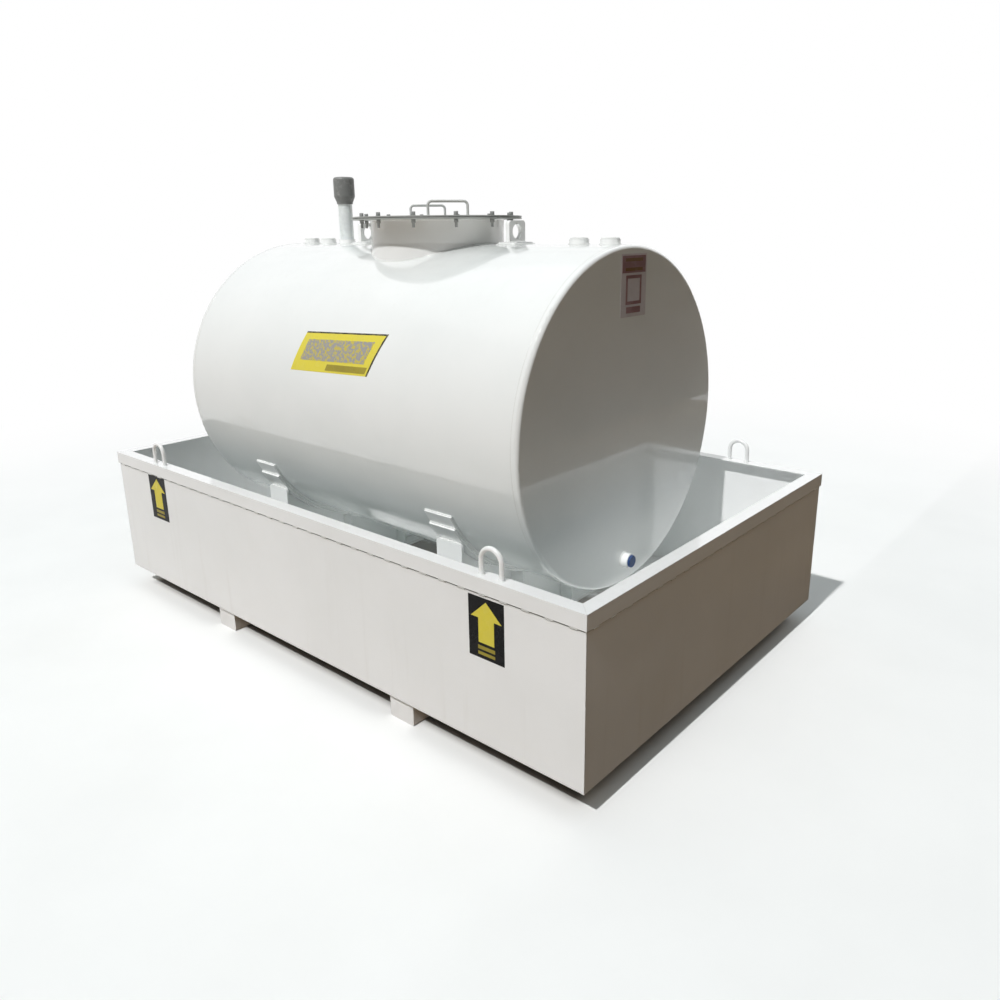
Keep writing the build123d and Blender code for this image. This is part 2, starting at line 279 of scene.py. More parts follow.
def bumped(tree, height, distance, strength=1.0, normal=None):
    """The normal of a surface raised by a height of up to distance metres."""
    node = tree.nodes.new("ShaderNodeBump")
    node.inputs["Strength"].default_value = strength
    node.inputs["Distance"].default_value = distance
    tree.links.new(height, node.inputs["Height"])
    if normal is not None:
        tree.links.new(normal, node.inputs["Normal"])
    return node.outputs["Normal"]


def axis_part(tree, vector, axis):
    """One of the three numbers of a vector."""
    node = tree.nodes.new("ShaderNodeSeparateXYZ")
    tree.links.new(vector, node.inputs["Vector"])
    return node.outputs[axis]


def distance_from_middle(tree, place, axis):
    """How far a point lies from the middle of the tray along an axis, on either side."""
    node = tree.nodes.new("ShaderNodeMath")
    node.operation = "ABSOLUTE"
    tree.links.new(axis_part(tree, place, axis), node.inputs[0])
    return node.outputs["Value"]


def facing_up(tree):
    """1 on faces that look up, 0 on walls and undersides."""
    normal = tree.nodes.new("ShaderNodeNewGeometry").outputs["Normal"]
    return spread(tree, axis_part(tree, normal, "Z"), 0.35, 0.98)


def rounded_edge(tree, radius):
    """The normal of an edge rounded by the paint, and a mask that is 1 along that edge."""
    bevel = tree.nodes.new("ShaderNodeBevel")
    bevel.samples = 4
    bevel.inputs["Radius"].default_value = radius
    flat = tree.nodes.new("ShaderNodeNewGeometry").outputs["Normal"]
    compare = tree.nodes.new("ShaderNodeVectorMath")
    compare.operation = "DOT_PRODUCT"
    tree.links.new(bevel.outputs["Normal"], compare.inputs[0])
    tree.links.new(flat, compare.inputs[1])
    edge = spread(tree, compare.outputs["Value"], 0.985, 0.80)
    return bevel.outputs["Normal"], edge


def painted_shade_under_tank(tree, place):
    """1 on the tray's floor under the far half of the tank, in cloudy patches: painted shade in a
    brown tone.
    """
    on_floor = spread(tree, axis_part(tree, place, "Z"), floor_high.z + 0.004, floor_high.z + 0.001)
    clouds = spread(tree, noise(tree, place, 5.0, 6.0, 0.6), 0.22, 0.50)
    grime_and_shade = times(tree, times(tree, on_floor, facing_up(tree)), clouds)
    for axis, clear, full in under_tank_shade_ends:
        away = distance_from_middle(tree, place, axis)
        grime_and_shade = times(tree, grime_and_shade, spread(tree, away, clear, full))
    return times(tree, grime_and_shade, spread(tree, axis_part(tree, place, "Y"), *under_tank_shade_near_edge))


# Finishes

def gloss_white(name, white, shade, dust, wave, streaks=0.0, wave_scale=2.2, gloss=0.9):
    """Sprayed enamel on plate: slow drift of colour, dust on flats, streaks, painted shade under
    the tank, peel and waves.
    """
    material, tree, shader, place = start_material(name)
    drift = spread(tree, noise(tree, place, 1.7, 5.0), 0.35, 0.68)
    colour = mixed(tree, drift, white, shade)
    specks = spread(tree, noise(tree, place, 26.0, 9.0, 0.72), 0.50, 0.74)
    settled = times(tree, times(tree, specks, facing_up(tree)), dust)
    colour = mixed(tree, settled, colour, dust_colour)
    if streaks:
        runs = spread(tree, noise(tree, place, 16.0, 5.0, 0.6, (1.0, 1.0, 0.07)), 0.54, 0.74)
        low = spread(tree, axis_part(tree, place, "Z"), rim_high.z, floor_low.z, 0.25, 1.0)
        streaked = times(tree, times(tree, runs, low), streaks)
        colour = mixed(tree, streaked, colour, streak_colour)
        # Painted shade: the tray's floor under the tank is darkened in its colour
        shaded_floor = times(tree, painted_shade_under_tank(tree, place), under_tank_shade_cover)
        colour = mixed(tree, shaded_floor, colour, under_tank_shade_colour)
    rounded, edge = rounded_edge(tree, 0.0025)
    colour = mixed(tree, times(tree, edge, 0.25), colour, worn_white)
    tree.links.new(colour, shader.inputs["Base Color"])
    dulled = spread(tree, noise(tree, place, 9.0, 6.0), 0.3, 0.75, 0.10, 0.24)
    tree.links.new(dulled, shader.inputs["Roughness"])
    waves = bumped(tree, noise(tree, place, wave_scale, 2.0, 0.4), wave, 1.0, rounded)
    peel = bumped(tree, noise(tree, place, 420.0, 2.0, 0.5), 0.00004, 1.0, waves)
    tree.links.new(peel, shader.inputs["Normal"])
    shader.inputs["IOR"].default_value = 1.52
    shader.inputs["Coat Weight"].default_value = gloss
    shader.inputs["Coat Roughness"].default_value = 0.03
    shader.inputs["Coat IOR"].default_value = 1.6
    return material


def satin_grey(name, grey, dark):
    """Grey enamel on the manhole: dulled, a little chalky, rubbed along its edges."""
    material, tree, shader, place = start_material(name)
    cloud = spread(tree, noise(tree, place, 5.0, 7.0, 0.62), 0.35, 0.70)
    colour = mixed(tree, cloud, grey, dark)
    rounded, edge = rounded_edge(tree, 0.0015)
    colour = mixed(tree, times(tree, edge, 0.35), colour, worn_grey)
    specks = spread(tree, noise(tree, place, 70.0, 8.0, 0.7), 0.55, 0.72)
    settled = times(tree, times(tree, specks, facing_up(tree)), 0.3)
    colour = mixed(tree, settled, colour, (0.45, 0.43, 0.38))
    tree.links.new(colour, shader.inputs["Base Color"])
    dulled = spread(tree, noise(tree, place, 30.0, 5.0), 0.3, 0.7, 0.34, 0.52)
    tree.links.new(dulled, shader.inputs["Roughness"])
    grain = bumped(tree, noise(tree, place, 260.0, 3.0), 0.00012, 1.0, rounded)
    tree.links.new(grain, shader.inputs["Normal"])
    return material


def cast_grey(name):
    """Dark grey cast vent cap: fine sand-cast grain under thin paint, with paler rub marks."""
    material, tree, shader, place = start_material(name)
    rub = spread(tree, noise(tree, place, 38.0, 8.0, 0.68), 0.50, 0.72)
    colour = mixed(tree, rub, (0.18, 0.185, 0.18), (0.29, 0.295, 0.285))
    rounded, edge = rounded_edge(tree, 0.003)
    colour = mixed(tree, times(tree, edge, 0.5), colour, rubbed_cast)
    tree.links.new(colour, shader.inputs["Base Color"])
    tree.links.new(spread(tree, rub, 0.0, 1.0, 0.40, 0.60), shader.inputs["Roughness"])
    grain = bumped(tree, noise(tree, place, 300.0, 5.0, 0.6), 0.0006, 0.7, rounded)
    tree.links.new(grain, shader.inputs["Normal"])
    return material


def zinc(name, light, dark, metal, scale, dulled=0.5):
    """Zinc on steel: cells of spangle in two close greys, dulled unevenly."""
    material, tree, shader, place = start_material(name)
    cells = tree.nodes.new("ShaderNodeTexVoronoi")
    cells.inputs["Scale"].default_value = scale
    tree.links.new(place, cells.inputs["Vector"])
    shade = axis_part(tree, cells.outputs["Color"], "X")
    colour = mixed(tree, shade, light, dark)
    dull = spread(tree, noise(tree, place, 45.0, 6.0), 0.40, 0.72)
    colour = mixed(tree, times(tree, dull, dulled), colour, (0.42, 0.42, 0.40))
    tree.links.new(colour, shader.inputs["Base Color"])
    tree.links.new(spread(tree, dull, 0.0, 1.0, 0.30, 0.50), shader.inputs["Roughness"])
    tree.links.new(bumped(tree, shade, 0.0001, 0.6), shader.inputs["Normal"])
    shader.inputs["Metallic"].default_value = metal
    return material


def rubber(name):
    """Black sheet rubber of the gasket, dusty at its cut edge."""
    material, tree, shader, place = start_material(name)
    bloom = spread(tree, noise(tree, place, 60.0, 6.0, 0.7), 0.45, 0.75)
    black = mixed(tree, bloom, (0.018, 0.018, 0.018), (0.06, 0.058, 0.055))
    tree.links.new(black, shader.inputs["Base Color"])
    tree.links.new(spread(tree, bloom, 0.0, 1.0, 0.62, 0.85), shader.inputs["Roughness"])
    tree.links.new(bumped(tree, noise(tree, place, 500.0, 3.0), 0.0001), shader.inputs["Normal"])
    return material


def moulded(name, colour, pale, low, high):
    """Moulded plastic of a shipping plug, paler where it has been handled."""
    material, tree, shader, place = start_material(name)
    scuffs = spread(tree, noise(tree, place, 85.0, 8.0, 0.75, (1.0, 1.0, 0.4)), 0.52, 0.74)
    rounded, edge = rounded_edge(tree, 0.0012)
    base = mixed(tree, times(tree, scuffs, 0.5), colour, pale)
    base = mixed(tree, times(tree, edge, 0.5), base, pale)
    tree.links.new(base, shader.inputs["Base Color"])
    tree.links.new(spread(tree, scuffs, 0.0, 1.0, low, high), shader.inputs["Roughness"])
    grain = bumped(tree, noise(tree, place, 340.0, 3.0), 0.00008, 1.0, rounded)
    tree.links.new(grain, shader.inputs["Normal"])
    return material


def printed_film(name, colour, faded, grime, patches=13.0, blur=0.17):
    """Vinyl sticker film: even ink, sun-faded in patches, a little grime caught on it."""
    material, tree, shader, place = start_material(name)
    cloud = spread(tree, noise(tree, place, patches, 5.0), 0.52 - blur, 0.52 + blur)
    base = mixed(tree, cloud, colour, faded)
    grime_and_shade = spread(tree, noise(tree, place, 110.0, 8.0, 0.7), 0.56, 0.76)
    base = mixed(tree, times(tree, grime_and_shade, 0.4), base, grime)
    tree.links.new(base, shader.inputs["Base Color"])
    tree.links.new(spread(tree, cloud, 0.0, 1.0, 0.22, 0.36), shader.inputs["Roughness"])
    tree.links.new(bumped(tree, noise(tree, place, 95.0, 3.0), 0.0001), shader.inputs["Normal"])
    shader.inputs["Specular IOR Level"].default_value = 0.1
    return material


tank_white = gloss_white(
    "tank_gloss_white", (0.87, 0.885, 0.875), (0.83, 0.85, 0.84), 0.08, 0.0012
)
fitting_white = gloss_white(
    "fitting_satin_white", (0.93, 0.935, 0.925), (0.89, 0.895, 0.885), 0.05, 0.0004, gloss=0.15
)
tray_white = gloss_white(
    "tray_gloss_white", (0.915, 0.915, 0.915), (0.875, 0.875, 0.87), 0.12, 0.0030,
    streaks=0.10, wave_scale=2.8,
)
bead_white = gloss_white(
    "weld_bead_white", (0.84, 0.85, 0.83), (0.76, 0.77, 0.75), 0.25, 0.0002, wave_scale=60.0
)
cover_grey = satin_grey("cover_satin_grey", (0.40, 0.415, 0.40), (0.31, 0.325, 0.315))
handle_grey = satin_grey("handle_satin_grey", (0.60, 0.61, 0.59), (0.48, 0.49, 0.48))
cap_grey = cast_grey("vent_cap_grey")
pipe_zinc = zinc("vent_pipe_zinc", (0.80, 0.84, 0.83), (0.75, 0.79, 0.79), 0.15, 70.0, dulled=0.15)
bolt_zinc = zinc("bolt_zinc", (0.34, 0.35, 0.34), (0.22, 0.225, 0.22), 0.5, 240.0)
gasket_rubber_and_rim_shade = rubber("gasket_rubber_and_rim_shade")
plug_blue = moulded("plug_blue", (0.020, 0.060, 0.19), (0.07, 0.13, 0.27), 0.28, 0.46)
plug_white = moulded("plug_white", (0.78, 0.79, 0.77), (0.62, 0.62, 0.60), 0.30, 0.45)
film_black = printed_film(
    "film_black", (0.005, 0.0045, 0.0045), (0.009, 0.008, 0.008), (0.030, 0.027, 0.024)
)
film_yellow = printed_film(
    "film_yellow", (0.80, 0.69, 0.085), (0.76, 0.66, 0.10), (0.50, 0.44, 0.12)
)
film_pale = printed_film(
    "film_pale", (0.62, 0.58, 0.605), (0.54, 0.50, 0.525), (0.38, 0.35, 0.35)
)
film_ochre = printed_film(
    "film_ochre", (0.40, 0.33, 0.05), (0.33, 0.27, 0.05), (0.20, 0.16, 0.06)
)
film_charcoal = printed_film(
    "film_charcoal", (0.05, 0.05, 0.045), (0.17, 0.155, 0.09), (0.12, 0.11, 0.08), patches=30.0
)
film_brown = printed_film(
    "film_brown", (0.20, 0.11, 0.045), (0.17, 0.10, 0.05), (0.13, 0.10, 0.07)
)
film_worn_print = printed_film(
    "film_worn_print", (0.36, 0.35, 0.35), (0.58, 0.49, 0.11), (0.20, 0.18, 0.13),
    patches=88.0, blur=0.07,
)
film_maroon = printed_film(
    "film_maroon", (0.27, 0.155, 0.165), (0.31, 0.19, 0.195), (0.30, 0.24, 0.23)
)

finishes = {
    "tank_shell": tank_white,
    "tank_end_left": tank_white,
    "tank_end_right": tank_white,
    "manhole_neck": fitting_white,
    "manhole_flange": cover_grey,
    "manhole_cover": cover_grey,
    "manhole_gasket": gasket_rubber_and_rim_shade,
    "cover_handle_front": handle_grey,
    "cover_handle_back": handle_grey,
    "vent_cap": cap_grey,
    "vent_pipe": pipe_zinc,
    "outlet_plug": plug_blue,
    "top_plugs_left": plug_white,
    "top_plugs_right": plug_white,
}
tank_fittings = ("saddle", "wear", "lug", "top_sockets", "vent_socket", "outlet_socket")


def finish_cad_nodes():
    """Gives every solid of the CAD part its finish."""
    for name, node in nodes.items():
        usual = fitting_white if name.startswith(tank_fittings) else tray_white
        for material_slot in node.material_slots:
            material_slot.material = finishes.get(name, usual)


# Bolts of the manhole cover

def add_prism(bm, sides, radius, bottom, top, centre, edge):
    """An upright prism or disc with its top and bottom edges bevelled."""
    made = bmesh.ops.create_cone(
        bm,
        cap_ends=True,
        segments=sides,
        radius1=radius,
        radius2=radius,
        depth=top - bottom,
        matrix=Matrix.Translation((*centre, (top + bottom) / 2)),
    )
    corners = set(made["verts"])
    rims = [
        e for e in bm.edges
        if set(e.verts) <= corners and abs(e.verts[0].co.z - e.verts[1].co.z) < 1e-6
    ]
    bmesh.ops.bevel(
        bm, geom=rims, offset=edge, segments=2, affect="EDGES", profile=0.5, material=-1
    )


def make_bolts():
    """Heads and washers on the cover, and washers, nuts and bolt tails under the flange."""
    bm = bmesh.new()
    hexagon_radius = bolt_head_across / 2 / math.cos(math.radians(30.0))
    head_foot = cover_high.z + washer_height
    nut_top = flange_low.z - washer_height
    nut_foot = nut_top - nut_height
    tail_foot = flange_low.z - bolt_tail
    for number in range(bolt_count):
        turn = math.radians(360.0 / bolt_count * number + bolt_turn)
        centre = (manhole_x + bolt_ring * math.cos(turn), bolt_ring * math.sin(turn))
        add_prism(bm, 24, washer_radius, cover_high.z, head_foot, centre, washer_edge)
        head_top = head_foot + bolt_head_height
        add_prism(bm, 6, hexagon_radius, head_foot, head_top, centre, bolt_edge)
        add_prism(bm, 24, washer_radius, nut_top, flange_low.z, centre, washer_edge)
        add_prism(bm, 6, hexagon_radius, nut_foot, nut_top, centre, bolt_edge)
        add_prism(bm, 16, bolt_shank_radius, tail_foot, nut_foot, centre, shank_edge)
    mesh = mesh_from(bm, "manhole_bolts")
    return finish_piece("manhole_bolts", mesh, bolt_zinc)


# Weld beads: ripples of a round bead along a path

def path_points(path, length):
    """Even points along a path, a function of 0..1, one for each ripple of the bead."""
    count = max(8, int(length / bead_step))
    return [Vector(path(number / count)) for number in range(count + 1)]


def ring(centre, radius, axis, start=0.0, end=360.0):
    """A path round an axis, and its length."""
    def path(share):
        turn = math.radians(start + (end - start) * share)
        across = (radius * math.cos(turn), radius * math.sin(turn))
        if axis == "X":
            return (centre[0], centre[1] + across[0], centre[2] + across[1])
        return (centre[0] + across[0], centre[1] + across[1], centre[2])
    return path, radius * math.radians(end - start)


def run(start, end):
    """A straight path, and its length."""
    start, end = Vector(start), Vector(end)
    return (lambda share: start.lerp(end, share)), (end - start).length


def on_shell(radius, place):
    """Height of a cylinder about the tank's axis above a point across the tank."""
    return tank_axis_z + math.sqrt(radius * radius - place * place)


def make_beads(name, runs, material):
    """One mesh of beads. runs holds the path, length and radius of each."""
    curve = bpy.data.curves.new(name, "CURVE")
    curve.dimensions = "3D"
    curve.bevel_depth = 1.0
    curve.bevel_resolution = 1
    curve.use_fill_caps = True
    for path, length, radius in runs:
        points = path_points(path, length)
        spline = curve.splines.new("POLY")
        spline.points.add(len(points) - 1)
        for number, (point, place) in enumerate(zip(spline.points, points)):
            point.co = (*place, 1.0)
            point.radius = radius * (1.0 + bead_ripple * math.cos(math.pi * number))
    carrier = bpy.data.objects.new(name, curve)
    mesh = bpy.data.meshes.new_from_object(carrier)
    bpy.data.objects.remove(carrier)
    bpy.data.curves.remove(curve)
    mesh.name = name
    for face in mesh.polygons:
        face.use_smooth = True
    return finish_piece(name, mesh, material)


def pipe_foot_path(centre_x, radius):
    """Where an upright pipe meets the shell, and the way round it."""
    def path(share):
        turn = 2 * math.pi * share
        y = radius * math.sin(turn)
        return (centre_x + radius * math.cos(turn), y, on_shell(tank_radius, y))
    return path, 2 * math.pi * radius


def centres_along_x(node, width):
    """Centres of the two round pieces of one width that share a node."""
    low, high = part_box(node)
    return low.x + width / 2, high.x - width / 2


def make_tank_beads():
    """Seams of the ends, and the welds round lug pads, lugs, sockets and outlet."""
    runs = []
    for end in ("left", "right"):
        low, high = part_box(f"tank_end_{end}")
        seam_x = high.x if end == "left" else low.x
        seam = ring((seam_x, 0.0, tank_axis_z), tank_radius - end_seam_sunk, "X")
        runs.append((*seam, end_seam_bead))
        pad_low, pad_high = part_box(f"lug_pad_{end}")
        side_z = on_shell(tank_radius, pad_high.y) + plate_stand_off
        for y in (pad_low.y, pad_high.y):
            runs.append((*run((pad_low.x, y, side_z), (pad_high.x, y, side_z)), fillet_bead))
        for x in (pad_low.x, pad_high.x):
            runs.append((*cross_path(x, pad_high.y, tank_radius + plate_stand_off), fillet_bead))
        lug_low, lug_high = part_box(f"lug_{end}")
        for x in (lug_low.x, lug_high.x):
            runs.append((*cross_path(x, lug_high.y, pad_radius(end)), lug_bead))
    socket_low, socket_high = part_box("vent_socket")
    socket_width = socket_high.x - socket_low.x
    centres = [(socket_low.x + socket_high.x) / 2]
    for end in ("left", "right"):
        centres += centres_along_x(f"top_sockets_{end}", socket_width)
    for centre in centres:
        runs.append((*pipe_foot_path(centre, socket_width / 2 + plate_stand_off), fillet_bead))
    outlet_low, outlet_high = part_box("outlet_socket")
    outlet_z = (outlet_low.z + outlet_high.z) / 2
    outlet_radius = (outlet_high.z - outlet_low.z) / 2
    outlet = ring((end_high.x, 0.0, outlet_z), outlet_radius + plate_stand_off, "X")
    runs.append((*outlet, fillet_bead))
    return make_beads("tank_welds", runs, bead_white)


def pad_radius(end):
    """Radius of the top of a lug's pad about the tank's axis."""
    low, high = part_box(f"lug_pad_{end}")
    return high.z - tank_axis_z


def cross_path(x, half_width, radius):
    """A path across the top of the tank at x."""
    half_angle = math.asin(half_width / radius)
    def path(share):
        turn = half_angle * (2 * share - 1)
        return (x, radius * math.sin(turn), tank_axis_z + radius * math.cos(turn))
    return path, 2 * half_angle * radius


def bar_feet(name):
    """Centre and radius of each foot of a bent bar, from the lowest points of its node."""
    low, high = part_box(name)
    middle = (low.y + high.y) / 2
    lowest = [vert.co for vert in nodes[name].data.vertices if vert.co.z < low.z + 0.0001]
    for side in (-1, 1):
        foot = [point for point in lowest if (point.y - middle) * side > 0]
        xs = [point.x for point in foot]
        ys = [point.y for point in foot]
        centre = ((min(xs) + max(xs)) / 2, (min(ys) + max(ys)) / 2, low.z)
        yield centre, (max(xs) - min(xs)) / 2


def make_manhole_beads():
    """Welds of the neck on the shell and under the flange, and of the feet of the handles."""
    neck_outside = neck_radius + plate_stand_off
    neck_runs = [
        (*pipe_foot_path(manhole_x, neck_outside), neck_bead),
        (*ring((manhole_x, 0.0, flange_low.z), neck_outside, "Z"), flange_bead),
    ]
    make_beads("neck_welds", neck_runs, bead_white)
    handle_runs = []
    for name in ("cover_handle_front", "cover_handle_back"):
        for centre, radius in bar_feet(name):
            handle_runs.append((*ring(centre, radius + bar_stand_off, "Z"), handle_bead))
    make_beads("handle_welds", handle_runs, handle_grey)


def make_saddle_beads():
    """Welds of the wear plates, flanges, end ribs and base plates of both saddles."""
    runs = []
    for end in ("left", "right"):
        wear_low, wear_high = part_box(f"wear_plate_{end}")
        curve_low, curve_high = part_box(f"saddle_flange_{end}")
        base_low, base_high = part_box(f"saddle_base_{end}")
        rib_low, rib_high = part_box(f"saddle_ribs_{end}")
        wear_radius = tank_axis_z - wear_low.z
        wear_angle = math.degrees(math.asin(wear_high.y / wear_radius))
        curve_angle = math.degrees(math.asin(curve_high.y / (tank_axis_z - curve_low.z)))
        strips = (
            (wear_low, wear_high, tank_radius + plate_stand_off, wear_angle),
            (curve_low, curve_high, wear_radius + plate_stand_off, curve_angle),
        )
        for low, high, radius, angle in strips:
            for x in (low.x, high.x):
                edge = ring((x, 0.0, tank_axis_z), radius, "X", 270 - angle, 270 + angle)
                runs.append((*edge, fillet_bead))
        for side in (-1, 1):
            for low, high, radius, angle in strips:
                turn = math.radians(angle)
                y = side * radius * math.sin(turn)
                z = tank_axis_z - radius * math.cos(turn)
                runs.append((*run((low.x, y, z), (high.x, y, z)), fillet_bead))
            y, z = side * (rib_high.y + bar_stand_off), base_high.z
            runs.append((*run((rib_low.x, y, z), (rib_high.x, y, z)), fillet_bead))
        z = floor_high.z
        for y in (base_low.y, base_high.y):
            runs.append((*run((base_low.x, y, z), (base_high.x, y, z)), base_bead))
        for x in (base_low.x, base_high.x):
            runs.append((*run((x, base_low.y, z), (x, base_high.y, z)), base_bead))
    return make_beads("saddle_welds", runs, bead_white)


def make_tray_beads():
    """Corner welds of the tray, the foot of each wall, and the feet of the rim's eyes."""
    runs = []
    left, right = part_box("tray_wall_left")[1].x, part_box("tray_wall_right")[0].x
    near, far = wall_high.y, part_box("tray_wall_far")[0].y
    foot = floor_high.z
    for x in (left, right):
        for y in (near, far):
            runs.append((*run((x, y, foot), (x, y, wall_high.z)), tray_bead))
        runs.append((*run((x, near, foot), (x, far, foot)), tray_bead))
    for y in (near, far):
        runs.append((*run((left, y, foot), (right, y, foot)), tray_bead))
    for row in ("near", "far"):
        for end in ("left", "right"):
            low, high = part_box(f"rim_eye_{row}_{end}")
            bar = high.y - low.y
            for x in (low.x + bar / 2, high.x - bar / 2):
                centre = (x, (low.y + high.y) / 2, rim_high.z)
                runs.append((*ring(centre, bar / 2 + eye_stand_off, "Z"), eye_bead))
    return make_beads("tray_welds", runs, bead_white)


# Dark strip under the rim, painted shade of the rim's leg over the dark joint, and the short welds
# that hold the rim to the wall

def rim_foot_runs():
    """Start, end and outward direction of the corner under the rim along each wall."""
    z = rim_low.z
    x, y = floor_high.x, floor_high.y
    return (
        (Vector((-x, -y, z)), Vector((x, -y, z)), Vector((0.0, -1.0, 0.0))),
        (Vector((x, y, z)), Vector((-x, y, z)), Vector((0.0, 1.0, 0.0))),
        (Vector((x, -y, z)), Vector((x, y, z)), Vector((1.0, 0.0, 0.0))),
        (Vector((-x, y, z)), Vector((-x, -y, z)), Vector((-1.0, 0.0, 0.0))),
    )


def make_rim_joint_and_shade():
    """A dark strip under the rim: painted shade of the rim's leg, over the dark joint where the rim
    stands off the wall.
    """
    bm = bmesh.new()
    for start, end, outward in rim_foot_runs():
        inset = (end - start).normalized() * joint_shade_from_corner
        drop = Vector((0.0, 0.0, joint_shade_height))
        corners = [start + inset - drop, end - inset - drop, end - inset, start + inset]
        add_plate(bm, corners, joint_shade_depth, outward)
    # The strip takes the gasket's black rubber, as painted shade under the rim
    return finish_piece("rim_joint_and_shade", mesh_from(bm, "rim_joint_and_shade"), gasket_rubber_and_rim_shade)


def make_rim_stitches():
    """Short welds between the rim and the walls, evenly spaced."""
    runs = []
    for start, end, outward in rim_foot_runs():
        length = (end - start).length
        along = (end - start).normalized()
        count = int(length / stitch_pitch)
        for number in range(count):
            middle = start + along * (length * (number + 0.5) / count)
            middle += outward * stitch_stand_off
            middle.z -= stitch_drop
            half = along * stitch_length / 2
            runs.append((*run(middle - half, middle + half), stitch_bead))
    return make_beads("rim_stitches", runs, bead_white)


# Stickers

def add_plate(bm, corners, thickness, outward):
    """A flat plate of film from its corners, standing off the paint."""
    lift = Vector(outward) * thickness
    face = bm.faces.new([bm.verts.new(Vector(corner)) for corner in corners])
    made = bmesh.ops.extrude_face_region(bm, geom=[face])
    raised = [item for item in made["geom"] if isinstance(item, bmesh.types.BMVert)]
    bmesh.ops.translate(bm, verts=raised, vec=lift)


def near_wall_plate(name, outline, centre, stand_off, material):
    """outline holds (right, up) shares of the panel from its centre."""
    bm = bmesh.new()
    y = wall_low.y - stand_off
    corners = [
        (centre[0] + right * arrow_panel_width, y, centre[1] + up * arrow_panel_height)
        for right, up in outline
    ]
    add_plate(bm, corners, film, (0.0, -1.0, 0.0))
    return finish_piece(name, mesh_from(bm, name), material)


def make_arrow_stickers():
    """A black panel with a plain arrow over two plain bars, at each end of the near wall."""
    panel = [(-0.5, -0.5), (0.5, -0.5), (0.5, 0.5), (-0.5, 0.5)]
    arrow = [
        (-0.22, -0.24), (0.22, -0.24), (0.22, 0.16), (0.43, 0.16),
        (0.0, 0.44), (-0.43, 0.16), (-0.22, 0.16),
    ]
    upper_bar = [(-0.24, -0.35), (0.24, -0.35), (0.24, -0.29), (-0.24, -0.29)]
    lower_bar = [(-0.24, -0.44), (0.24, -0.44), (0.24, -0.39), (-0.24, -0.39)]
    for end, centre in arrow_panels.items():
        near_wall_plate(f"arrow_panel_{end}", panel, centre, 0.0, film_black)
        near_wall_plate(f"arrow_{end}", arrow, centre, film, film_yellow)
        near_wall_plate(f"arrow_upper_bar_{end}", upper_bar, centre, film, film_ochre)
        near_wall_plate(f"arrow_lower_bar_{end}", lower_bar, centre, film, film_ochre)


def end_plate(name, left, right, bottom, top, stand_off, material):
    """A plate of the label on the right-hand end, in shares of the label from its centre."""
    bm = bmesh.new()
    x = end_high.x + stand_off
    centre_y, centre_z = end_panel_place
    ys = (centre_y + left * end_panel_width, centre_y + right * end_panel_width)
    zs = (centre_z + bottom * end_panel_height, centre_z + top * end_panel_height)
    corners = [(x, ys[0], zs[0]), (x, ys[1], zs[0]), (x, ys[1], zs[1]), (x, ys[0], zs[1])]
    add_plate(bm, corners, film, (1.0, 0.0, 0.0))
    return finish_piece(name, mesh_from(bm, name), material)


def make_end_label():
    """A plain label with a striped header, a square frame and a bar."""
    plates = (
        ("end_label", -0.5, 0.5, -0.5, 0.5, 0.0, film_pale),
        ("end_label_header", -0.46, 0.46, 0.20, 0.47, film, film_maroon),
        ("end_label_bar", -0.28, 0.28, -0.44, -0.34, film, film_maroon),
        ("end_label_upper_stripe", -0.34, 0.34, 0.38, 0.43, 2 * film, film_brown),
        ("end_label_lower_stripe", -0.34, 0.34, 0.23, 0.28, 2 * film, film_brown),
    )
    for plate in plates:
        end_plate(*plate)
    bm = bmesh.new()
    bmesh.ops.create_grid(bm, x_segments=1, y_segments=1, size=label_frame_half)
    upright = Matrix.Rotation(math.radians(90.0), 4, "Y")
    bmesh.ops.transform(bm, matrix=upright, verts=bm.verts)
    inner = bmesh.ops.inset_region(
        bm, faces=bm.faces[:], thickness=label_frame_bar, use_boundary=True
    )
    field = [face for face in bm.faces if face not in inner["faces"]]
    bmesh.ops.delete(bm, geom=field, context="FACES_ONLY")
    centre = (end_high.x + film, end_panel_place[0], end_panel_place[1] - label_frame_drop)
    bmesh.ops.translate(bm, verts=bm.verts, vec=Vector(centre))
    raised = bmesh.ops.extrude_face_region(bm, geom=bm.faces[:])
    tops = [item for item in raised["geom"] if isinstance(item, bmesh.types.BMVert)]
    bmesh.ops.translate(bm, verts=tops, vec=(film, 0.0, 0.0))
    mesh = mesh_from(bm, "end_label_field")
    finish_piece("end_label_field", mesh, film_maroon)


def shell_patch(name, across, up, stand_off, material, columns=24, rows=10):
    """Film on the round of the shell, from shares across and up the sticker's four corners."""
    bm = bmesh.new()
    bmesh.ops.create_grid(bm, x_segments=columns, y_segments=rows, size=0.5)
    corner = shell_panel_corners
    for vert in bm.verts:
        u = across[0] + (across[1] - across[0]) * (vert.co.x + 0.5)
        v = up[0] + (up[1] - up[0]) * (vert.co.y + 0.5)
        low = Vector(corner["bottom_left"]).lerp(Vector(corner["bottom_right"]), u)
        high = Vector(corner["top_left"]).lerp(Vector(corner["top_right"]), u)
        x, degrees = low.lerp(high, v)
        radius = tank_radius + stand_off
        turn = math.radians(degrees)
        vert.co = (x, -radius * math.cos(turn), tank_axis_z + radius * math.sin(turn))
    raised = bmesh.ops.extrude_face_region(bm, geom=bm.faces[:])
    tops = [item for item in raised["geom"] if isinstance(item, bmesh.types.BMVert)]
    for vert in tops:
        out = Vector((0.0, vert.co.y, vert.co.z - tank_axis_z)).normalized()
        vert.co += out * film
    return finish_piece(name, mesh_from(bm, name), material)


